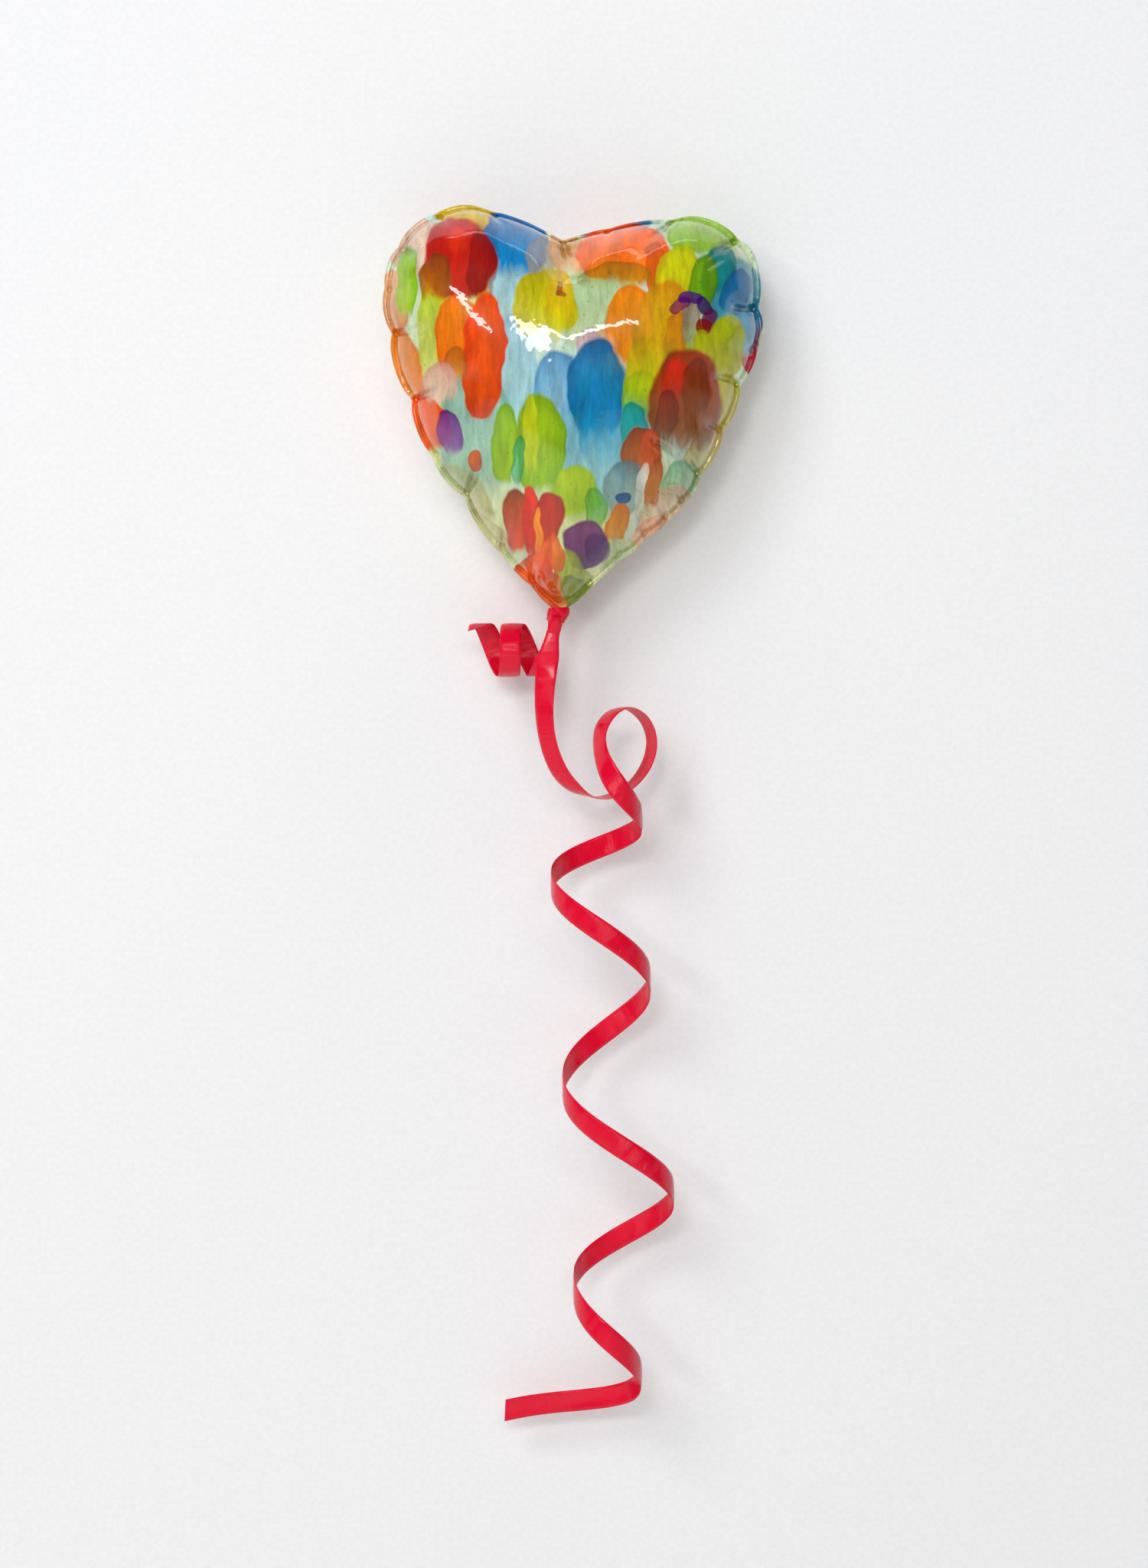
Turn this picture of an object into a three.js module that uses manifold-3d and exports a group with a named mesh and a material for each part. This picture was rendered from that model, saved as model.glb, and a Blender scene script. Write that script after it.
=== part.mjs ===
// A glazed ceramic wall ornament in the shape of a heart foil balloon, with a curling ribbon tied to
// its neck. Millimetres, +Z up, the wall is the plane Y = 0 and the front of the balloon faces -Y.
// The origin is the middle of the flat pad that lies against the wall.
import * as THREE from "three";
import { mergeVertices } from "three/addons/utils/BufferGeometryUtils.js";
import Module from "manifold-3d";

const wasm = await Module();
wasm.setup();

// ---------------------------------------------------------------- driving dimensions
const GAP = 0.3; // clearance kept between neighbouring pieces
const SEAM_Y = -17; // plane where the two ceramic halves meet
const FRONT_DEPTH = 21; // front half, from the seam to its highest point
const WALL = 3.5; // thickness of the ceramic
const FLANGE = 1.2; // thickness of each half of the seam flange
const FLANGE_START = 0.955; // where the flange begins, as a share of the outline's radius
const PAD = 0.5; // size of the flat back pad, as a share of the outline's radius
const SCALLOPS = 24; // pleats round the seam
const SCALLOP_DEPTH = 0.012; // how far a pleat draws the outline in, as a share of the radius
const SIDES = 96; // segments round each ceramic half

const HOLE_RADIUS = 4; // hanging hole in the back pad
const HOLE_Z = 9;

const NECK_X = -3; // the neck hangs a little left of the middle, as the heart is tilted
const NECK_TOP = -57.2;
const NECK_BOTTOM = -61.2;
const NECK_RADIUS = 1.8;
const WRAP_THICKNESS = 0.5;
const WRAP_TOP = -57.6;
const WRAP_BOTTOM = -60.2;

const RIBBON_WIDTH = 5; // flat curling ribbon
const TUBE_RADIUS = RIBBON_WIDTH / 2;
const TUBE_SIDES = 8;

// The seam's outline as [x, z], clockwise from the cleft.
const OUTLINE = [
  [0.2, 29.7],
  [9.3, 31.8],
  [22.3, 33.9],
  [28.5, 34.4],
  [35.5, 32.1],
  [41.8, 27.2],
  [44.7, 17.0],
  [45.0, 6.0],
  [40.6, -6.3],
  [34.6, -20.5],
  [27.2, -33.6],
  [16.2, -43.2],
  [6.8, -50.3],
  [0.4, -56.0],
  [-2.8, -57.2],
  [-5.6, -55.8],
  [-16.6, -44.4],
  [-25.1, -32.8],
  [-32.8, -21.8],
  [-39.2, -6.3],
  [-42.6, 5.3],
  [-43.8, 13.8],
  [-43.0, 21.7],
  [-40.6, 27.7],
  [-33.5, 34.1],
  [-24.7, 36.8],
  [-18.0, 35.7],
  [-10.9, 33.2],
  [-3.7, 30.2],
];

// The free ribbon's way down from the knot, as [x, y, z].
const ROOT_ROUTE = [
  [-3.9, -20.7, -62.6],
  [-4.4, -20.9, -65.2],
  [-4.9, -21.0, -68.0],
];
const DROP_ROUTE = [
  [-5.1, -21.0, -69.0],
  [-5.8, -21.0, -74.4],
  [-6.0, -20.8, -80.8],
  [-5.5, -20.2, -86.2],
  [-4.2, -19.4, -91.2],
  [-1.9, -18.4, -95.8],
  [1.4, -17.2, -99.1],
];
const END_ROUTE = [
  [14.0, -13.5, -239.6],
  [9.5, -10.6, -241.4],
  [3.0, -9.6, -242.4],
  [-4.0, -9.4, -243.1],
  [-10.0, -9.4, -243.9],
  [-15.3, -9.6, -244.9],
];
const SHORT_ROUTE = [
  [-4.6, -18.3, -62.9],
  [-5.4, -16.8, -65.0],
  [-6.4, -14.6, -67.2],
];
const ROOT_RADIUS = 1; // gathered where it leaves the knot
const LEAD_RADIUS = 1.2;

// One open loop of the ribbon, then its long curl; each is a thin-walled tube of the outer size.
const LOOP_CENTRE = [13.2, -20.5, -90.8];
const LOOP_AXIS = [-0.62, 0.78, 0];
const LOOP_OUTER = 11;
const CURL_TOP = [6.6, -20.5, -104.2];
const CURL_BOTTOM = [10.8, -20.5, -236.4];
const CURL_OUTER = 11.6;
const SHORT_CURL_RIGHT = [-9.6, -13.2, -66.5];
const SHORT_CURL_LEFT = [-23.4, -13.2, -65.5];
const SHORT_CURL_OUTER = 6.4;
const CURL_WALL = 1;

// ---------------------------------------------------------------- materials
function material(colour, roughness) {
  return new THREE.MeshStandardMaterial({ color: colour, roughness, metalness: 0 });
}
const glaze = () => material("#d9a441", 0.12);
const bisque = () => material("#e9dfcf", 0.6);
const ribbonRed = () => material("#d5022b", 0.3);

// ---------------------------------------------------------------- helpers
function vec(p) {
  return new THREE.Vector3(...p);
}

function mesh(name, geometry, finish) {
  const made = new THREE.Mesh(geometry, finish);
  made.name = name;
  return made;
}

function smoothstep(low, high, value) {
  const t = Math.min(Math.max((value - low) / (high - low), 0), 1);
  return t * t * (3 - 2 * t);
}

// The outline's radius at a clock angle, in radians clockwise from +Z as seen from the front.
const outlineCurve = new THREE.CatmullRomCurve3(
  OUTLINE.map(([x, z]) => new THREE.Vector3(x, 0, z)),
  true,
  "centripetal",
);
const outlineSamples = outlineCurve
  .getPoints(1440)
  .map((p) => [Math.atan2(p.x, p.z), Math.hypot(p.x, p.z)])
  .sort((a, b) => a[0] - b[0]);

function outlineRadius(angle) {
  const after = outlineSamples.findIndex((s) => s[0] >= angle);
  if (after <= 0) return outlineSamples[after === 0 ? 0 : outlineSamples.length - 1][1];
  const [a0, r0] = outlineSamples[after - 1];
  const [a1, r1] = outlineSamples[after];
  return r0 + ((r1 - r0) * (angle - a0)) / Math.max(a1 - a0, 1e-9);
}

// 1 in the valley of a pleat and 0 on the crest between two.
function pleat(angle) {
  return Math.pow(Math.abs(Math.cos((SCALLOPS * angle) / 2)), 6);
}

// A lathed shell whose profile gives radii as shares of the outline, bent into the heart.
function heartShell(profile) {
  const geometry = new THREE.LatheGeometry(
    profile.map(([r, y]) => new THREE.Vector2(r, y)),
    SIDES,
  );
  const position = geometry.attributes.position;
  for (let i = 0; i < position.count; i++) {
    const share = Math.hypot(position.getX(i), position.getZ(i));
    const angle = Math.atan2(position.getX(i), position.getZ(i));
    const rim = smoothstep(0.6, 0.98, share);
    const radius = share * outlineRadius(angle) * (1 - SCALLOP_DEPTH * rim * pleat(angle));
    const height = position.getY(i) - SEAM_Y;
    const sink = 1 - 0.14 * pleat(angle) * smoothstep(0.6, 0.85, share) * (share < 0.93 ? 1 : 0);
    position.setXYZ(
      i,
      radius * Math.sin(angle),
      SEAM_Y + (Math.abs(height) > FLANGE + 1 ? height * sink : height),
      radius * Math.cos(angle),
    );
  }
  geometry.computeVertexNormals();
  return geometry;
}

// Height of the pillow over the seam, from 1 in the middle to 0 at the flange.
function pillow(share, flatTo) {
  const t = Math.max(share - flatTo, 0) / (FLANGE_START - flatTo);
  return Math.pow(Math.max(1 - Math.pow(t, 2.3), 0), 0.58);
}

function shellProfile(sign, depth, flatTo) {
  const outer = [];
  const inner = [];
  const start = Math.max(flatTo, 0.14);
  const stations = [0, start];
  for (let i = 1; i < 7; i++) stations.push(start + ((FLANGE_START - start) * i) / 7);
  stations.push(FLANGE_START - 0.018);
  for (const share of stations) {
    outer.push([share, SEAM_Y + sign * (FLANGE + (depth - FLANGE) * pillow(share, flatTo))]);
  }
  for (const share of stations.slice(0, -1)) {
    const drop = sign * (depth - WALL) * pillow(share, flatTo);
    inner.push([share * 0.91, SEAM_Y + drop]);
  }
  const face = SEAM_Y + (sign * GAP) / 2;
  const rim = [
    [FLANGE_START, SEAM_Y + sign * FLANGE],
    [0.995, SEAM_Y + sign * FLANGE],
    [1, SEAM_Y + sign * FLANGE * 0.5],
    [1, face],
    [0.9, face],
  ];
  const whole = [...outer, ...rim, ...inner.reverse()];
  return sign < 0 ? whole : whole.reverse();
}

function solid(geometry) {
  const bare = geometry.clone();
  bare.deleteAttribute("normal");
  bare.deleteAttribute("uv");
  const merged = mergeVertices(bare, 1e-4);
  return new wasm.Manifold(
    new wasm.Mesh({
      numProp: 3,
      vertProperties: merged.attributes.position.array,
      triVerts: new Uint32Array(merged.index.array),
    }),
  );
}

function fromSolid(made) {
  const out = made.getMesh();
  const geometry = new THREE.BufferGeometry();
  geometry.setAttribute("position", new THREE.BufferAttribute(out.vertProperties, 3));
  geometry.setIndex(new THREE.BufferAttribute(out.triVerts, 1));
  geometry.computeVertexNormals();
  return geometry;
}

// A round tube through the points.
function tube(points, radius, steps) {
  const section = new THREE.Shape();
  for (let i = 0; i < TUBE_SIDES; i++) {
    const a = (2 * Math.PI * i) / TUBE_SIDES;
    section[i ? "lineTo" : "moveTo"](radius * Math.cos(a), radius * Math.sin(a));
  }
  section.closePath();
  return new THREE.ExtrudeGeometry(section, {
    steps,
    extrudePath: new THREE.CatmullRomCurve3(points.map(vec), false, "centripetal"),
  });
}

// A lathed solid round the line from one point to another; the profile is [radius, distance].
function turned(profile, from, to, sides) {
  const geometry = new THREE.LatheGeometry(
    profile.map(([r, y]) => new THREE.Vector2(r, y)),
    sides,
  );
  const axis = vec(to).sub(vec(from)).normalize();
  const turn = new THREE.Quaternion().setFromUnitVectors(new THREE.Vector3(0, 1, 0), axis);
  return geometry.applyQuaternion(turn).translate(...from);
}

// A pipe with open ends from one point to another.
function pipe(from, to, outer, wall, sides) {
  const length = vec(to).distanceTo(vec(from));
  const profile = [
    [outer - wall, 0],
    [outer, 0],
    [outer, length],
    [outer - wall, length],
    [outer - wall, 0],
  ];
  return turned(profile, from, to, sides);
}

// ---------------------------------------------------------------- ceramic heart
function frontShell() {
  return heartShell(shellProfile(-1, FRONT_DEPTH, 0));
}

function backShell() {
  const body = solid(heartShell(shellProfile(1, -SEAM_Y, PAD)));
  const drill = new THREE.CylinderGeometry(HOLE_RADIUS, HOLE_RADIUS, 4 * WALL, 32).translate(0, 0, HOLE_Z);
  return fromSolid(body.subtract(solid(drill)));
}

// A short rolled neck with a waist that the ribbon is tied round.
function neckStub() {
  const profile = [
    [0, NECK_BOTTOM],
    [NECK_RADIUS * 0.8, NECK_BOTTOM],
    [NECK_RADIUS, NECK_BOTTOM + 0.5],
    [NECK_RADIUS, WRAP_BOTTOM - 0.1],
    [NECK_RADIUS * 0.9, (WRAP_TOP + WRAP_BOTTOM) / 2],
    [NECK_RADIUS, WRAP_TOP + 0.1],
    [NECK_RADIUS, NECK_TOP - GAP],
    [0, NECK_TOP - GAP],
  ];
  return turned(profile, [NECK_X, SEAM_Y, 0], [NECK_X, SEAM_Y, 1], 24);
}

// ---------------------------------------------------------------- ribbon tie
function ribbonWrap() {
  const inside = NECK_RADIUS + GAP;
  const outside = inside + WRAP_THICKNESS;
  const profile = [
    [inside, WRAP_BOTTOM],
    [outside, WRAP_BOTTOM],
    [outside, WRAP_TOP],
    [inside, WRAP_TOP],
    [inside, WRAP_BOTTOM],
  ];
  return turned(profile, [NECK_X, SEAM_Y, 0], [NECK_X, SEAM_Y, 1], 24);
}

function ribbonKnot() {
  const lump = new THREE.SphereGeometry(1, 16, 10);
  return lump.scale(1.7, 1.1, 1.9).translate(NECK_X - 0.6, SEAM_Y - 3.95, -60.2);
}

// ---------------------------------------------------------------- free ribbon
function loopRing() {
  const half = vec(LOOP_AXIS).normalize().multiplyScalar(RIBBON_WIDTH / 2);
  const near = vec(LOOP_CENTRE).sub(half).toArray();
  const far = vec(LOOP_CENTRE).add(half).toArray();
  return pipe(near, far, LOOP_OUTER, CURL_WALL, 32);
}

// ---------------------------------------------------------------- assembly
const group = new THREE.Group();
group.add(
  mesh("front_shell", frontShell(), glaze()),
  mesh("back_shell", backShell(), bisque()),
  mesh("neck_stub", neckStub(), glaze()),
  mesh("ribbon_wrap", ribbonWrap(), ribbonRed()),
  mesh("ribbon_knot", ribbonKnot(), ribbonRed()),
  mesh("ribbon_root", tube(ROOT_ROUTE, ROOT_RADIUS, 4), ribbonRed()),
  mesh("ribbon_drop", tube(DROP_ROUTE, TUBE_RADIUS, 12), ribbonRed()),
  mesh("ribbon_loop", loopRing(), ribbonRed()),
  mesh("ribbon_curl", pipe(CURL_TOP, CURL_BOTTOM, CURL_OUTER, CURL_WALL, 24), ribbonRed()),
  mesh("ribbon_end", tube(END_ROUTE, TUBE_RADIUS, 12), ribbonRed()),
  mesh("short_lead", tube(SHORT_ROUTE, LEAD_RADIUS, 4), ribbonRed()),
  mesh(
    "short_curl",
    pipe(SHORT_CURL_RIGHT, SHORT_CURL_LEFT, SHORT_CURL_OUTER, CURL_WALL, 20),
    ribbonRed(),
  ),
);

export default group;
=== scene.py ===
"""A glazed ceramic heart balloon on a wall, tied with a long curling ribbon.

The scene is in metres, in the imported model's frame: +Z is up, the wall is the plane Y = 0 and the
front of the balloon faces -Y. Shapes are worked out in millimetres and scaled when a mesh is made.
"""
import math

import bpy
import numpy as np
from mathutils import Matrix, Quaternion


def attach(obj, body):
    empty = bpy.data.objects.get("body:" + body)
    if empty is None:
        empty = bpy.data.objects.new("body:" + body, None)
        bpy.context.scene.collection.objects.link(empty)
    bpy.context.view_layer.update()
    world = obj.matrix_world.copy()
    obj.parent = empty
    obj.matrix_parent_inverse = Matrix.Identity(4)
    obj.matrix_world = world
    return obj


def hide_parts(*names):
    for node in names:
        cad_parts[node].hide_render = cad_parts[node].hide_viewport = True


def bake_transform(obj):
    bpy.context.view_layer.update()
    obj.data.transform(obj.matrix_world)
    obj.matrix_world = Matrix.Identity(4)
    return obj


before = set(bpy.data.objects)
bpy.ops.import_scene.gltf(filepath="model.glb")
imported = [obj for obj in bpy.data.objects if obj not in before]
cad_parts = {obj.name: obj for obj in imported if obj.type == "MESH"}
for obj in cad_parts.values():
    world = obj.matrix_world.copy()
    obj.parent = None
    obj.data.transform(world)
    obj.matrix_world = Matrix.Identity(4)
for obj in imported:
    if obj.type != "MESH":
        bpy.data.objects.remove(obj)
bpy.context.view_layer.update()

MM = 0.001  # millimetres to metres

# ------------ driving dimensions, in millimetres
SEAM_Y = -17.0  # where the two ceramic halves meet
FRONT_DEPTH = 21.0  # from the seam to the front's highest point
BACK_DEPTH = 17.0  # from the seam to the wall
WALL = 3.5  # thickness of the ceramic
FLANGE = 1.0  # thickness of each half of the seam flange
FLANGE_START = 0.972  # as a share of the outline's radius
SEAM_GAP = 0.15  # between the two halves at the seam
INNER_SCALE = 0.93  # size of the hollow inside each half, as a share of the outline's radius
PAD = 0.5  # size of the flat back pad, as a share of the outline's radius
HOLE_RADIUS = 4.0  # of the hanging hole
HOLE_Z = 9.0

RIBBON_WIDTH = 5.0
RIBBON_THICKNESS = 0.18
RIBBON_STEP = 0.22  # between the rows of a ribbon's mesh
RIBBON_COLUMNS = 9  # points across each face of a ribbon's mesh
RIBBON_CROWN = 0.16  # how far the middle of the ribbon stands above its edges
CUT_REACH = 6.0  # how far from its end a slanting cut draws the ribbon's mesh askew
CRIMP_PITCH = 1.05  # of the fine ridges that a scissor blade leaves across a curled ribbon
CRIMP_HEIGHT = 0.012

# The seam's outline as (x, z), clockwise from the cleft.
OUTLINE = [
    (0.2, 29.7), (9.3, 31.8), (22.3, 33.9), (28.5, 34.4), (35.5, 32.1), (41.8, 27.2),
    (44.7, 17.0), (45.0, 6.0), (40.6, -6.3), (34.6, -20.5), (27.2, -33.6), (16.2, -43.2),
    (6.8, -50.3), (0.4, -56.0), (-2.8, -57.2), (-5.6, -55.8), (-16.6, -44.4), (-25.1, -32.8),
    (-32.8, -21.8), (-39.2, -6.3), (-42.6, 5.3), (-43.8, 13.8), (-43.0, 21.7), (-40.6, 27.7),
    (-33.5, 34.1), (-24.7, 36.8), (-18.0, 35.7), (-10.9, 33.2), (-3.7, 30.2),
]

# Pleats where the foil gathers at the seam: clock angle in degrees, strength, and how far inwards
# the crease runs in millimetres.
PLEATS = [
    (-160.0, 0.5, 6), (-141.7, 1.0, 9), (-124.0, 0.5, 5), (-103.2, 1.0, 8), (-80.7, 1.0, 7),
    (-68.0, 0.4, 4), (-56.0, 0.7, 6), (-42.0, 0.4, 4), (-27.0, 0.5, 5), (-3.7, 0.8, 9),
    (16.0, 0.4, 4), (35.7, 0.8, 8), (53.6, 0.7, 8), (73.6, 1.0, 5), (86.0, 0.5, 4), (97.4, 0.9, 8),
    (114.0, 0.7, 6), (131.0, 0.9, 7), (141.0, 0.6, 5), (148.0, 0.6, 6), (156.0, 0.7, 6),
    (166.0, 0.6, 6), (-170.0, 0.6, 6),
]
# Slits where two puffs of foil meet, as x, z, turn in degrees, half length and depth.
SLITS = [
    (39.2, 12.0, 3.0, 1.7, 1.3), (21.4, -20.6, -24.0, 2.4, 1.2), (35.6, -4.2, -4.0, 2.0, 0.7),
    (-24.6, -30.0, 38.0, 2.6, 0.6), (33.0, 21.5, 38.0, 2.2, 0.5), (-35.5, 7.0, 6.0, 1.6, 0.5),
]
# Folds that fan out from the neck: angle from straight up in degrees, depth and length.
TIP_FOLDS = [
    (-34.0, 0.9, 15.0), (-22.0, 0.8, 13.0), (-8.0, 0.7, 9.0), (14.0, 0.5, 8.0), (31.0, 1.0, 14.0),
]
TIP = (-2.9, -57.6)  # x and z of the point that they fan out from
# The buckled foil low on the right: clock angles it runs between, share of the radius, and depth.
BUCKLE = (131.0, 158.0, 0.875, 0.5)
CLEFT_X = -1.5  # the valley between the two lobes

# The free ribbon's route as (x, y, z), and the way its outer face points there.
FRONT = (0.0, -1.0, 0.0)
UPPER_ROUTE = [
    ((-3.9, -20.7, -62.6), FRONT),
    ((-4.4, -20.9, -65.2), FRONT),
    ((-4.9, -21.0, -68.0), FRONT),
    ((-5.1, -21.0, -69.0), FRONT),
    ((-5.8, -21.0, -74.4), (-0.3, -0.95, 0.0)),
    ((-6.0, -20.8, -80.8), (-0.52, -0.85, 0.0)),
    ((-5.5, -20.2, -86.2), (-0.6, -0.8, -0.2)),
    ((-4.2, -19.4, -91.2), (-0.5, -0.75, -0.45)),
    ((-1.9, -18.4, -95.8), (-0.3, -0.65, -0.75)),
    ((1.4, -17.2, -99.1), (0.0, -0.3, -0.95)),
    ((4.5, -16.2, -100.7), (0.0, 0.0, -1.0)),
    ((7.5, -15.2, -101.1), (0.0, 0.15, -1.0)),
    ((10.9, -14.2, -100.2), (0.25, 0.3, -0.9)),
    ((14.4, -13.4, -98.0), (0.6, 0.4, -0.7)),
    ((17.2, -13.0, -94.6), (0.8, 0.48, -0.35)),
    ((18.7, -13.2, -91.0), (0.87, 0.5, -0.1)),
    ((19.0, -14.0, -87.6), (0.87, 0.5, 0.1)),
    ((18.1, -15.2, -84.3), (0.7, 0.4, 0.6)),
    ((16.0, -16.8, -81.6), (0.3, 0.2, 0.93)),
    ((13.0, -18.8, -80.2), (0.0, 0.0, 1.0)),
    ((9.9, -21.0, -81.3), (-0.4, -0.35, 0.85)),
    ((7.6, -23.2, -84.2), (-0.7, -0.6, 0.4)),
    ((6.8, -25.2, -87.8), (-0.77, -0.64, 0.0)),
    ((7.3, -27.2, -91.6), (-0.7, -0.75, -0.1)),
    ((8.9, -29.0, -95.4), (-0.4, -0.95, -0.1)),
    ((11.2, -29.8, -99.0), (0.1, -1.0, 0.0)),
    ((13.9, -28.2, -102.3), (0.6, -0.8, 0.0)),
    ((16.0, -24.6, -104.9), (0.9, -0.4, 0.0)),
    ((16.6, -20.5, -106.4), (1.0, 0.0, 0.0)),
]
# The long curl's outermost points as (x, z), right and left by turns. It winds round an upright axis.
CURL_STATIONS = [
    (16.6, -106.4), (-4.3, -120.7), (18.5, -143.8), (-1.6, -168.0), (23.9, -193.0),
    (0.9, -214.0), (16.4, -235.7),
]
CURL_AXIS_Y = -20.5
CURL_RADIUS_Y = 10.5
CURL_POINTS_PER_TURN = 20
# The loose end that the long curl runs out into.
END_ROUTE = [
    ((14.0, -13.5, -239.6), (0.75, 0.65, 0.0)),
    ((9.5, -10.6, -241.4), (0.35, 0.94, 0.0)),
    ((3.0, -9.6, -242.4), (0.05, 1.0, 0.0)),
    ((-4.0, -9.4, -243.1), (0.0, 1.0, 0.05)),
    ((-10.0, -9.4, -243.9), (0.0, 1.0, 0.05)),
    ((-15.3, -9.6, -244.9), (0.0, 1.0, 0.05)),
]
# The short tail from the knot to its first turn. Its turns are round a level axis, parallel to the wall.
SHORT_ROUTE = [
    ((-4.6, -18.3, -62.9), (-0.9, -0.3, 0.0)),
    ((-5.1, -17.6, -65.8), (-0.8, -0.5, -0.1)),
    ((-5.8, -16.4, -68.9), (-0.5, -0.6, -0.5)),
    ((-6.8, -14.2, -71.3), (-0.1, -0.3, -0.9)),
]
SHORT_AXIS_Y = -13.2
SHORT_AXIS_Z = -66.6
SHORT_RADIUS = 6.1
SHORT_PITCH = 7.4  # how far each whole turn moves on
SHORT_FRONT_X = -13.9  # where its turn passes the front
SHORT_LEAN = 0.195  # how far the turns lean, so that they come straight down in front
SHORT_TURNS = (0.1, 3.2)  # where they begin and end, in half turns from the bottom


# ------------ camera
CAMERA_AT = (0.0009, -0.9, -0.0979)
CAMERA_DISTANCE = 0.882  # from the camera to the middle depth of the ribbon
CAMERA_VIEW_HEIGHT = 0.3645  # what it takes in from top to bottom at that distance


def add_camera():
    """Square on to the wall, a little below the heart, so that heart and ribbon fill the view."""
    data = bpy.data.cameras.new("camera")
    camera = bpy.data.objects.new("camera", data)
    bpy.context.scene.collection.objects.link(camera)
    data.sensor_width = 36.0
    data.lens = data.sensor_width * CAMERA_DISTANCE / CAMERA_VIEW_HEIGHT
    camera.location = CAMERA_AT
    camera.rotation_euler = (math.pi / 2, 0, 0)
    bpy.context.scene.camera = camera


add_camera()


# ------------ mesh helpers
def new_object(name, vertices, faces):
    """A mesh object from vertices in millimetres."""
    mesh = bpy.data.meshes.new(name)
    mesh.from_pydata((np.asarray(vertices) * MM).tolist(), [], faces)
    mesh.update()
    mesh.polygons.foreach_set("use_smooth", [True] * len(mesh.polygons))
    made = bpy.data.objects.new(name, mesh)
    bpy.context.scene.collection.objects.link(made)
    return made


def add_attribute(thing, name, values):
    layer = thing.data.attributes.new(name, "FLOAT", "POINT")
    layer.data.foreach_set("value", np.asarray(values, np.float32))


def smoothstep(low, high, value):
    t = np.clip((value - low) / (high - low), 0.0, 1.0)
    return t * t * (3 - 2 * t)


def unit(v):
    return v / np.maximum(np.linalg.norm(v, axis=-1, keepdims=True), 1e-12)


def hermite(t, a, b, slope_a, slope_b):
    """The cubic from a to b with these slopes at its ends."""
    return (
        (2 * t**3 - 3 * t**2 + 1) * a + (t**3 - 2 * t**2 + t) * slope_a
        + (3 * t**2 - 2 * t**3) * b + (t**3 - t**2) * slope_b
    )


def skin(rings, sides, closed=False):
    """Quads from each ring of points to the next, and from the last to the first if closed."""
    faces = []
    for i in range(rings if closed else rings - 1):
        a, b = i * sides, (i + 1) % rings * sides
        for j in range(sides):
            k = (j + 1) % sides
            faces.append((a + j, a + k, b + k, b + j))
    return faces


FINE_SAMPLES = 60  # between two points of a route, before it is sampled evenly


def curve_through(points, facings, step):
    """Even samples, step apart, of a centripetal spline through the points, with the facing at each."""
    rows = np.hstack([np.array(points, float), unit(np.array(facings, float))])
    gaps = np.sqrt(np.linalg.norm(np.diff(rows[:, :3], axis=0), axis=1))
    slopes = np.diff(rows, axis=0) / gaps[:, None]
    tangents = np.empty_like(rows)
    tangents[0], tangents[-1] = slopes[0], slopes[-1]
    before, after = gaps[:-1, None], gaps[1:, None]
    tangents[1:-1] = (slopes[:-1] * after + slopes[1:] * before) / (before + after)
    fine = []
    t = np.linspace(0, 1, FINE_SAMPLES, endpoint=False)[:, None]
    for i, gap in enumerate(gaps):
        fine.append(hermite(t, rows[i], rows[i + 1], gap * tangents[i], gap * tangents[i + 1]))
    fine = np.vstack([*fine, rows[-1:]])
    along = np.concatenate([[0.0], np.cumsum(np.linalg.norm(np.diff(fine[:, :3], axis=0), axis=1))])
    wanted = np.linspace(0, along[-1], int(along[-1] / step) + 1)
    even = np.column_stack([np.interp(wanted, along, fine[:, k]) for k in range(6)])
    return even[:, :3], unit(even[:, 3:]), wanted


def ribbon_crimp(along):
    """Height of the fine cross ridges, uneven in pitch and strength."""
    drift = 0.35 * np.sin(along * 0.83) + 0.25 * np.sin(along * 2.1 + 1.0)
    strength = 0.55 + 0.3 * np.sin(along * 0.31 + 0.5) + 0.25 * np.sin(along * 0.97 + 2.0)
    ridges = np.sin(2 * math.pi * along / CRIMP_PITCH + drift * 3)
    return CRIMP_HEIGHT * np.clip(strength, 0.1, 1.2) * ridges


def strip(name, points, facings, start=0.0, narrow=None, cut_end=0.0):
    """A flat closed ribbon along the points, in millimetres.

    start is how far along the whole ribbon it begins, narrow gives its width as a share at each
    distance, and cut_end is how far its end is cut askew. Returns it with its centreline and
    length, both in metres.
    """
    centre, facing, along = curve_through(points, facings, RIBBON_STEP)
    ahead = unit(np.gradient(centre, axis=0))
    facing = unit(facing - ahead * np.sum(facing * ahead, axis=1, keepdims=True))
    across = np.cross(ahead, facing)
    width = RIBBON_WIDTH * (np.ones_like(along) if narrow is None else narrow(along))
    columns = np.linspace(-1, 1, RIBBON_COLUMNS)
    crimp = ribbon_crimp(along + start)
    askew = smoothstep(along[-1] - CUT_REACH, along[-1], along) * cut_end
    rows = []
    for side in (1, -1):
        for c in columns if side > 0 else columns[::-1]:
            edge = 1 - abs(c) ** 8
            half_thickness = RIBBON_THICKNESS / 2 * (0.35 + 0.65 * edge)
            lift = RIBBON_CROWN * (1 - c * c) + crimp * (1 - 0.3 * c * c) + side * half_thickness
            rows.append(
                centre
                + across * (c * width / 2)[:, None]
                + facing * lift[:, None]
                + ahead * (c * askew)[:, None]
            )
    ring = len(rows)
    vertices = np.stack(rows, axis=1).reshape(-1, 3)
    count = len(centre)
    faces = skin(count, ring)
    for base, turn in ((0, 1), ((count - 1) * ring, -1)):
        for j in range(RIBBON_COLUMNS - 1):
            quad = (base + j, base + ring - 1 - j, base + ring - 2 - j, base + j + 1)
            faces.append(quad[::turn])
    made = new_object(name, vertices, faces)
    add_attribute(made, "along", np.repeat(along + start, ring))
    add_attribute(made, "across", np.tile(np.concatenate([columns, columns[::-1]]), count))
    return made, centre[::4] * MM, along[-1] * MM


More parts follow.
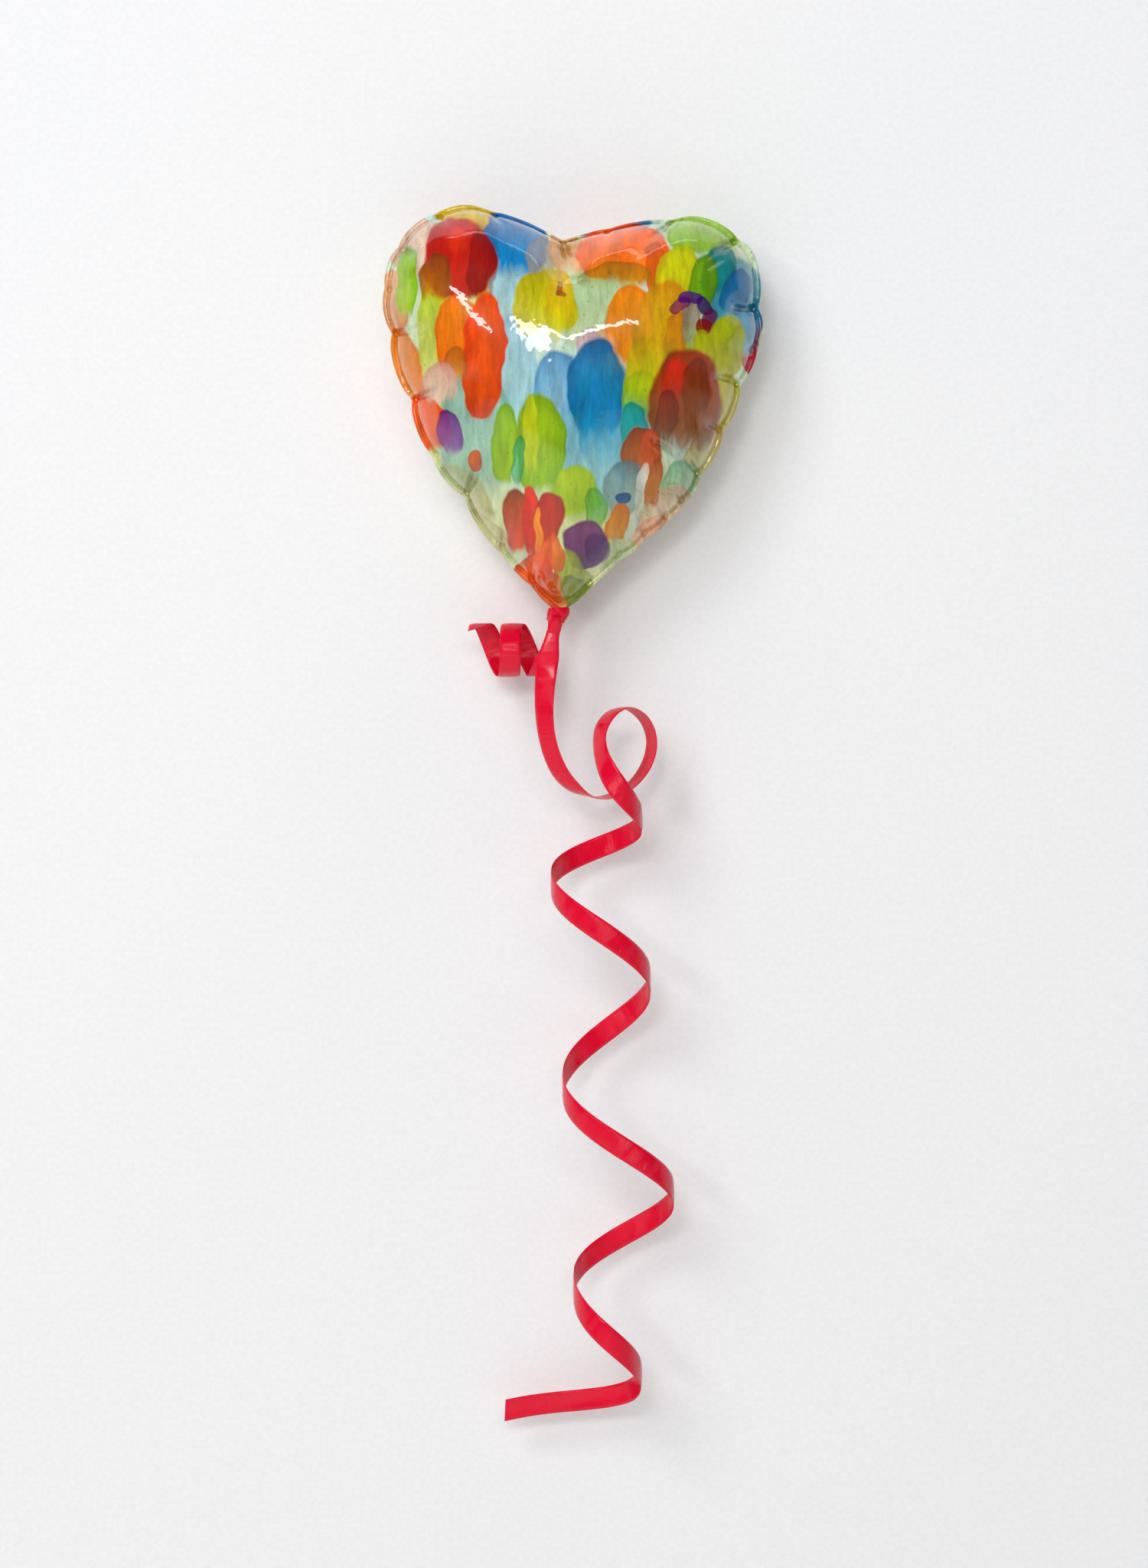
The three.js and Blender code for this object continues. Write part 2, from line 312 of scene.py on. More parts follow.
def spline_1d(stations, at):
    """A smooth line through numbers one apart."""
    s = np.asarray(stations, float)
    slope = np.gradient(s)
    i = np.clip(at.astype(int), 0, len(s) - 2)
    return hermite(at - i, s[i], s[i + 1], slope[i], slope[i + 1])


# ------------ ribbon routes
def curl_route():
    """The long curl's helix, from its outermost points, then its loose end."""
    xs, zs = np.array(CURL_STATIONS).T
    half_turns = len(CURL_STATIONS) - 1
    at = np.linspace(0, half_turns, half_turns * CURL_POINTS_PER_TURN // 2 + 1)
    half = np.minimum(at.astype(int), half_turns - 1)
    middle = (xs[half] + xs[half + 1]) / 2
    radius = np.abs(xs[half + 1] - xs[half]) / 2
    angle = math.pi * at
    points = np.column_stack([
        middle + radius * np.cos(angle),
        CURL_AXIS_Y + CURL_RADIUS_Y * np.sin(angle),
        spline_1d(zs, at),
    ])
    facings = np.column_stack([np.cos(angle), np.sin(angle), 0 * angle])
    end_points, end_facings = zip(*END_ROUTE)
    return [*points, *end_points], [*facings, *end_facings]


def short_route():
    """The short tail: down from the knot, then about a turn and a half round its own axis."""
    points, facings = map(list, zip(*SHORT_ROUTE))
    for turn in np.linspace(*SHORT_TURNS, 30):
        angle = math.pi * turn
        rise = -SHORT_RADIUS * math.cos(angle)
        points.append((
            SHORT_FRONT_X - (turn - 1.5) / 2 * SHORT_PITCH - SHORT_LEAN * rise,
            SHORT_AXIS_Y + SHORT_RADIUS * math.sin(angle),
            SHORT_AXIS_Z + rise,
        ))
        facings.append((0.0, math.sin(angle), -math.cos(angle)))
    return points, facings


GATHER_WIDTH = 0.62  # as a share of the ribbon's width
GATHER_LENGTH = 7.0


def gathered(along):
    """Both tails leave the knot gathered and open to their full width over GATHER_LENGTH."""
    return GATHER_WIDTH + (1 - GATHER_WIDTH) * smoothstep(0.0, GATHER_LENGTH, along)


SHORT_START = 40  # sets the short tail's ridges apart from the long one's


def make_ribbons():
    upper, upper_line, upper_length = strip(
        "long_ribbon_upper", *zip(*UPPER_ROUTE), narrow=gathered
    )
    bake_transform(upper)
    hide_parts("ribbon_root", "ribbon_drop", "ribbon_loop")

    curl, curl_line, curl_length = strip(
        "long_ribbon_curl", *curl_route(), start=upper_length / MM, cut_end=0.6
    )
    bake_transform(curl)
    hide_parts("ribbon_curl", "ribbon_end")

    short, short_line, short_length = strip(
        "short_ribbon", *short_route(), start=SHORT_START, narrow=gathered, cut_end=2.0
    )
    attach(short, "short_tail")
    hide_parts("short_lead", "short_curl")

    return upper, curl, short


# ------------ ceramic heart
def closed_spline(points, per):
    """A centripetal spline through the points and back to the first, with per samples between two."""
    p = np.array(points, float)
    t = np.linspace(0, 1, per, endpoint=False)[:, None]
    pieces = []
    for i in range(len(p)):
        a, b, c, d = (p[(i + k) % len(p)] for k in (-1, 0, 1, 2))
        ab, bc, cd = (max(np.linalg.norm(v) ** 0.5, 1e-6) for v in (b - a, c - b, d - c))
        m1 = (c - b) + bc * ((b - a) / ab - (c - a) / (ab + bc))
        m2 = (c - b) + bc * ((d - c) / cd - (d - b) / (bc + cd))
        pieces.append(hermite(t, b, c, m1, m2))
    return np.vstack(pieces)


OUTLINE_SAMPLES = 40  # between two points of the outline
outline_fine = closed_spline(OUTLINE, OUTLINE_SAMPLES)
outline_angles = np.arctan2(outline_fine[:, 0], outline_fine[:, 1])
outline_order = np.argsort(outline_angles)
outline_angles = outline_angles[outline_order]
outline_radii = np.hypot(outline_fine[:, 0], outline_fine[:, 1])[outline_order]


def outline_radius(angle):
    """From the origin to the seam's outline, at a clock angle from straight up in radians."""
    return np.interp(angle, outline_angles, outline_radii, period=2 * math.pi)


def wrapped(angle):
    """The same angle between minus and plus half a turn."""
    return (angle + math.pi) % (2 * math.pi) - math.pi


def pinch(angle):
    """How far each pleat draws the outline in, in millimetres, with the seam bowed out between them."""
    total = np.zeros_like(angle)
    for degrees, strength, _ in PLEATS:
        away = wrapped(angle - math.radians(degrees)) * outline_radius(angle)
        total += 1.9 * strength * np.exp(-np.sqrt(away**2 + 0.2) / 3.0)
    return total


def crease(away, width):
    """A narrow valley with a raised lip on each side."""
    lip = np.exp(-(((np.abs(away) - 2.1 * width) / (0.9 * width)) ** 2))
    return -np.exp(-((away / width) ** 2)) + 0.4 * lip


def pleats(angle, share, seed):
    """The creases that run in from the seam, in millimetres."""
    lean = np.random.default_rng(seed).uniform(-0.2, 0.2, len(PLEATS))
    total = np.zeros_like(angle)
    inwards = (1 - share) * outline_radius(angle)
    for (degrees, strength, reach), tilt in zip(PLEATS, lean):
        away = wrapped(angle - math.radians(degrees)) * outline_radius(angle) * share + tilt * inwards
        fade = smoothstep(reach, 0.35 * reach, inwards) * smoothstep(0.1, 0.8, inwards)
        total += 1.7 * strength * fade * crease(away, 0.5 + 0.06 * inwards)
        puff = smoothstep(2.6 * reach, 0.5 * reach, inwards) * smoothstep(1.6, 4.0, inwards)
        total -= 1.1 * strength * puff * np.exp(-((away / (1.6 + 0.25 * inwards)) ** 2))
    return total


def slits(x, z):
    """Short eye-shaped slits between puffs, in millimetres."""
    total = np.zeros_like(x)
    for mid_x, mid_z, turn, half, depth in SLITS:
        c, s = math.cos(math.radians(turn)), math.sin(math.radians(turn))
        along = (x - mid_x) * c + (z - mid_z) * s
        away = (z - mid_z) * c - (x - mid_x) * s
        total += depth * np.exp(-((along / half) ** 4)) * crease(away, 0.55)
        total -= 0.6 * depth * np.exp(-((along / (1.6 * half)) ** 2) - (away / 3.0) ** 2)
    return total


def tip_folds(x, z):
    """Folds that fan out from the neck, in millimetres."""
    side, up = x - TIP[0], z - TIP[1]
    distance = np.hypot(side, up)
    turn = np.arctan2(side, up)
    total = np.zeros_like(x)
    for degrees, depth, length in TIP_FOLDS:
        away = (turn - math.radians(degrees) - 0.05 * np.sin(distance * 0.9)) * distance
        total += depth * smoothstep(length, 0.3 * length, distance) * crease(away, 0.45 + 0.05 * distance)
    return total


def buckle(angle, share):
    """Foil buckled into a wavering line just inside the seam, in millimetres."""
    first, last, middle, depth = BUCKLE
    degrees = np.degrees(angle)
    where = smoothstep(first, first + 4, degrees) * smoothstep(last, last - 4, degrees)
    waver = 0.9 * np.sin(degrees * 1.3) + 0.4 * np.sin(degrees * 3.1 + 1.0)
    away = (share - middle) * outline_radius(angle) + waver
    return where * depth * (crease(away, 0.5) + 0.6 * crease(away - 1.8, 0.45))


WAVE_COUNT = 14


def waves(x, z, seed, size):
    """Smooth unevenness: the sum of WAVE_COUNT sines, each about size millimetres long."""
    random = np.random.default_rng(seed)
    total = np.zeros_like(x)
    for _ in range(WAVE_COUNT):
        turn, phase = random.uniform(0, 2 * math.pi, 2)
        k = 2 * math.pi / (size * random.uniform(0.7, 1.5))
        total += np.sin(k * (x * math.cos(turn) + z * math.sin(turn)) + phase)
    return total / math.sqrt(WAVE_COUNT)


def pillow(share, flat_to):
    """The puffed section, from 1 out to flat_to down to 0 at the flange."""
    t = np.clip((share - flat_to) / (FLANGE_START - flat_to), 0, 1)
    return np.clip(1 - t**2.3, 0, 1) ** 0.58


def place(angle, share):
    """x and z of a point of the outline's polar grid, with the seam scalloped between its pleats."""
    radius = share * outline_radius(angle) - pinch(angle) * smoothstep(0.72, 1.0, share)
    return radius * np.sin(angle), radius * np.cos(angle)


def seam_flange(angle, share):
    """The flat seam: a groove where it meets the puffed part and a bead along its edge, both uneven."""
    uneven = 0.55 + 0.3 * np.sin(5 * angle + 1) + 0.25 * np.sin(13 * angle + 2)
    bead = 0.25 * np.exp(-(((share - 0.990) / 0.007) ** 2))
    groove = 0.3 * np.exp(-(((share - 0.976) / 0.006) ** 2))
    return FLANGE + uneven * (bead - groove)


def front_height(angle, share):
    """How far the front stands in front of the seam."""
    x, z = place(angle, share)
    height = seam_flange(angle, share) + (FRONT_DEPTH - FLANGE) * pillow(share, 0.0)
    inner = smoothstep(0.97, 0.85, share)
    valley = np.exp(-(((x - CLEFT_X) / (3.5 + 6.0 * (1 - share))) ** 2)) * (z > 0)
    height -= 2.8 * valley * smoothstep(0.25, 0.9, share) * inner
    height += pleats(angle, share, 3)
    uneven = 0.08 * waves(x, z, 5, 18) + 0.006 * waves(x, z, 6, 5)
    height += inner * (slits(x, z) + buckle(angle, share) + uneven)
    height += tip_folds(x, z) * smoothstep(1.0, 0.96, share)
    return np.maximum(height, 0.5 * FLANGE)


def back_height(angle, share):
    """How far the back stands behind the seam; its pad is flat against the wall."""
    x, z = place(angle, share)
    height = seam_flange(angle, share) + (BACK_DEPTH - FLANGE) * pillow(share, PAD)
    off_pad = smoothstep(PAD, PAD + 0.2, share) * smoothstep(0.97, 0.85, share)
    height += off_pad * (0.14 * waves(x, z, 15, 15) - 0.2)
    height += pleats(angle, share, 13) * smoothstep(PAD + 0.05, PAD + 0.25, share)
    return np.clip(height, 0.5 * FLANGE, BACK_DEPTH)


SECTORS = 960  # points round the heart


def rings_to_object(name, rings, closed):
    """Skins rings of SECTORS points. The front's ends are capped; the back is closed on itself."""
    vertices = [p for ring in rings for p in ring]
    faces = skin(len(rings), SECTORS, closed)
    if not closed:
        for base, order in ((0, -1), ((len(rings) - 1) * SECTORS, 1)):
            tip = len(vertices)
            vertices.append(np.mean(rings[base // SECTORS], axis=0))
            for j in range(SECTORS):
                face = (base + j, base + (j + 1) % SECTORS, tip)
                faces.append(face[::order])
    if closed:
        faces = [f[::-1] for f in faces]
    return new_object(name, vertices, faces)


def heart_half(sign, height, first_share):
    """The rings of one half: outer skin, seam flange and inner skin. sign is -1 for the front."""
    angle = np.linspace(-math.pi, math.pi, SECTORS, endpoint=False)
    shares = np.concatenate([
        first_share + (0.8 - first_share) * np.linspace(0, 1, 34) ** 0.9,
        np.linspace(0.8, 0.999, 44)[1:],
    ])
    rings = []

    def add(share, y):
        x, z = place(angle, np.full_like(angle, share))
        rings.append(np.column_stack([x, np.broadcast_to(y, x.shape), z]))

    for share in shares:
        add(share, SEAM_Y + sign * height(angle, np.full_like(angle, share)))
    edge = height(angle, np.full_like(angle, 0.999))
    for share, part in ((1.004, 0.8), (1.006, 0.5), (1.004, 0.25), (1.0, 0.0)):
        add(share, SEAM_Y + sign * (SEAM_GAP + part * (edge - SEAM_GAP)))
    add(0.9, SEAM_Y + sign * SEAM_GAP)
    for share in np.linspace(0.84, max(first_share, 0.02), 6):
        smooth = np.full_like(angle, share)
        add(share * INNER_SCALE, SEAM_Y + sign * np.maximum(height(angle, smooth) - WALL, SEAM_GAP))
    return rings


def move_to_hole(rings):
    """Slides the middle rings of the back so that the innermost ones become the hanging hole."""
    moved = []
    for ring in rings:
        x, y, z = ring.T
        angle = np.arctan2(x, z)
        pull = smoothstep(PAD * 0.95, 0.1, np.hypot(x, z) / outline_radius(angle))
        hole_x, hole_z = HOLE_RADIUS * np.sin(angle), HOLE_Z + HOLE_RADIUS * np.cos(angle)
        circle = np.column_stack([hole_x, y, hole_z])
        moved.append(ring + (circle - ring) * pull[:, None])
    return moved


def make_heart():
    front_rings = heart_half(-1, front_height, 0.004)
    front = rings_to_object("heart_front", front_rings, closed=False)
    back_rings = move_to_hole(heart_half(1, back_height, 0.1))
    back = rings_to_object("heart_back", back_rings, closed=True)
    for made, node in ((front, "front_shell"), (back, "back_shell")):
        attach(made, "heart")
        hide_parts(node)
    return front, back


# ------------ knot
KNOT_RINGS = 46
KNOT_SIDES = 72


def lump(name, stations, folds, seed):
    """A gathered band: rings of (z, x, y, half width, half depth), with folds pressed into it."""
    z, x, y, wide, deep = np.array(stations, float).T
    at = np.linspace(0, len(stations) - 1, KNOT_RINGS)
    z, x, y, wide, deep = (spline_1d(v, at) for v in (z, x, y, wide, deep))
    turn = np.linspace(0, 2 * math.pi, KNOT_SIDES, endpoint=False)
    random = np.random.default_rng(seed)
    creases = random.uniform(0, 2 * math.pi, folds)
    slants = random.uniform(-0.9, 0.9, folds)
    rings = []
    for i in range(KNOT_RINGS):
        share = i / (KNOT_RINGS - 1)
        bump = np.ones(KNOT_SIDES)
        for crease, slant in zip(creases, slants):
            away = wrapped(turn - crease - slant * (share - 0.5) * 2)
            bump += 0.09 * np.exp(-((away / 0.13) ** 2)) - 0.07 * np.exp(-(((away - 0.27) / 0.12) ** 2))
        rings.append(np.column_stack([
            x[i] + wide[i] * bump * np.sin(turn),
            y[i] - deep[i] * bump * np.cos(turn),
            np.full(KNOT_SIDES, z[i]) + 0.12 * np.sin(3 * turn + seed),
        ]))
    vertices = [p for ring in rings for p in ring]
    faces = skin(KNOT_RINGS, KNOT_SIDES)
    faces.append(tuple(range(KNOT_SIDES))[::-1])
    faces.append(tuple((KNOT_RINGS - 1) * KNOT_SIDES + j for j in range(KNOT_SIDES)))
    made = new_object(name, vertices, faces)
    add_attribute(made, "along", [v[2] for v in vertices])
    add_attribute(made, "across", [v[0] for v in vertices])
    return made


def make_knot():
    wrap = lump("neck_wrap", [
        (-56.9, -2.7, -17.0, 2.45, 2.5),
        (-57.6, -2.7, -17.0, 2.6, 2.7),
        (-58.6, -2.75, -17.0, 2.5, 2.7),
        (-59.6, -3.0, -17.1, 2.2, 2.5),
        (-60.4, -3.2, -17.2, 1.85, 2.2),
    ], 7, 21)
    knot = lump("neck_knot", [
        (-58.9, -3.4, -20.0, 0.9, 0.7),
        (-59.4, -3.4, -20.3, 1.5, 1.2),
        (-60.3, -3.5, -20.5, 1.65, 1.4),
        (-61.3, -3.6, -20.5, 1.6, 1.25),
        (-62.3, -3.8, -20.6, 1.55, 0.8),
        (-63.0, -3.95, -20.7, 1.5, 0.4),
    ], 5, 22)
    for made, node in ((wrap, "ribbon_wrap"), (knot, "ribbon_knot")):
        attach(made, "tie")
        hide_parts(node)
    return wrap, knot


# ------------ materials
class Nodes:
    """Short calls for building a node tree."""

    def __init__(self, tree):
        self.tree = tree

    def add(self, kind, inputs=None, **settings):
        node = self.tree.nodes.new(kind)
        for key, value in settings.items():
            setattr(node, key, value)
        for key, value in (inputs or {}).items():
            self.set(node, key, value)
        return node

    def set(self, node, key, value):
        socket = node.inputs[key]
        if isinstance(value, bpy.types.NodeSocket):
            self.tree.links.new(value, socket)
        else:
            socket.default_value = value

    def math(self, operation, a, b=0.0, c=0.0, clamp=False):
        node = self.add("ShaderNodeMath", {0: a, 1: b, 2: c}, operation=operation, use_clamp=clamp)
        return node.outputs[0]

    def vector(self, operation, a, b):
        node = self.add("ShaderNodeVectorMath", {0: a, 1: b}, operation=operation)
        return node.outputs["Vector"]

    def ramp(self, value, low, high, to_low=0.0, to_high=1.0):
        node = self.add(
            "ShaderNodeMapRange",
            {"Value": value, "From Min": low, "From Max": high, "To Min": to_low, "To Max": to_high},
            interpolation_type="SMOOTHSTEP",
        )
        return node.outputs["Result"]

    def noise(self, at, scale, detail=2.0, roughness=0.5):
        node = self.add(
            "ShaderNodeTexNoise",
            {"Vector": at, "Scale": scale, "Detail": detail, "Roughness": roughness},
        )
        return node.outputs["Fac"]

    def mix(self, share, a, b, blend="MIX"):
        node = self.add("ShaderNodeMix", data_type="RGBA", blend_type=blend)
        self.set(node, 0, share)
        self.set(node, 6, a)
        self.set(node, 7, b)
        return node.outputs[2]

    def stretched(self, at, scale):
        return self.vector("MULTIPLY", at, scale)


def linear(colour):
    """A hex colour, as painted, in linear light."""
    channels = [int(colour[i:i + 2], 16) / 255 for i in (1, 3, 5)]
    return (*[c / 12.92 if c <= 0.04045 else ((c + 0.055) / 1.055) ** 2.4 for c in channels], 1.0)


def new_material(name):
    """A material with its node helper and its shader."""
    material = bpy.data.materials.new(name)
    material.use_nodes = True
    tree = material.node_tree
    tree.nodes.clear()
    nodes = Nodes(tree)
    shader = nodes.add("ShaderNodeBsdfPrincipled")
    output = nodes.add("ShaderNodeOutputMaterial")
    tree.links.new(shader.outputs[0], output.inputs[0])
    return material, nodes, shader


def make_dab_group():
    """One brush dab: a soft-cornered oval with a rounded top, a feathered tail and a darker rim."""
    tree = bpy.data.node_groups.new("dab", "ShaderNodeTree")
    interface = tree.interface
    for kind, names in (
        ("NodeSocketColor", ("Under", "Top", "Bottom")),
        ("NodeSocketVector", ("Point", "Centre", "Turn", "Size")),
        ("NodeSocketFloat", ("Strength", "Tail", "Streaks")),
    ):
        for name in names:
            interface.new_socket(name, in_out="INPUT", socket_type=kind)
    interface.new_socket("Colour", in_out="OUTPUT", socket_type="NodeSocketColor")
    n = Nodes(tree)
    given = n.add("NodeGroupInput").outputs
    local = n.add(
        "ShaderNodeMapping",
        {
            "Vector": given["Point"], "Location": given["Centre"], "Rotation": given["Turn"],
            "Scale": given["Size"],
        },
        vector_type="TEXTURE",
    ).outputs[0]
    height = n.add("ShaderNodeSeparateXYZ", {0: local}).outputs[2]
    square = n.add("ShaderNodeSeparateXYZ", {0: n.vector("MULTIPLY", local, local)}).outputs
    away = n.math("ADD", n.math("POWER", square[0], 1.13), n.math("POWER", square[2], 1.13))
    inside = n.ramp(away, 1.13, 0.85)
    ragged = n.math("MULTIPLY_ADD", given["Streaks"], given["Tail"], height)
    low = n.math("MULTIPLY_ADD", given["Tail"], 1.1, -1.02)
    tail = n.add(
        "ShaderNodeMapRange",
        {"Value": ragged, "From Min": -1.03, "From Max": low, "To Min": 0.0, "To Max": 1.0},
        interpolation_type="SMOOTHSTEP",
    ).outputs["Result"]
    cover = n.math("MULTIPLY", n.math("MULTIPLY", inside, tail), given["Strength"])
    downwards = n.math("MULTIPLY_ADD", height, -0.5, 0.5, clamp=True)
    colour = n.mix(downwards, given["Top"], given["Bottom"])
    rim = n.ramp(away, 0.35, 1.0, 0.0, 0.35)
    colour = n.mix(rim, colour, colour, "MULTIPLY")  # times itself, which deepens it
    over_wash = n.mix(1.0, colour, given["Under"], "MULTIPLY")
    colour = n.mix(0.3, colour, over_wash)  # the paint below shows through
    n.add("NodeGroupOutput", {0: n.mix(cover, given["Under"], colour)})


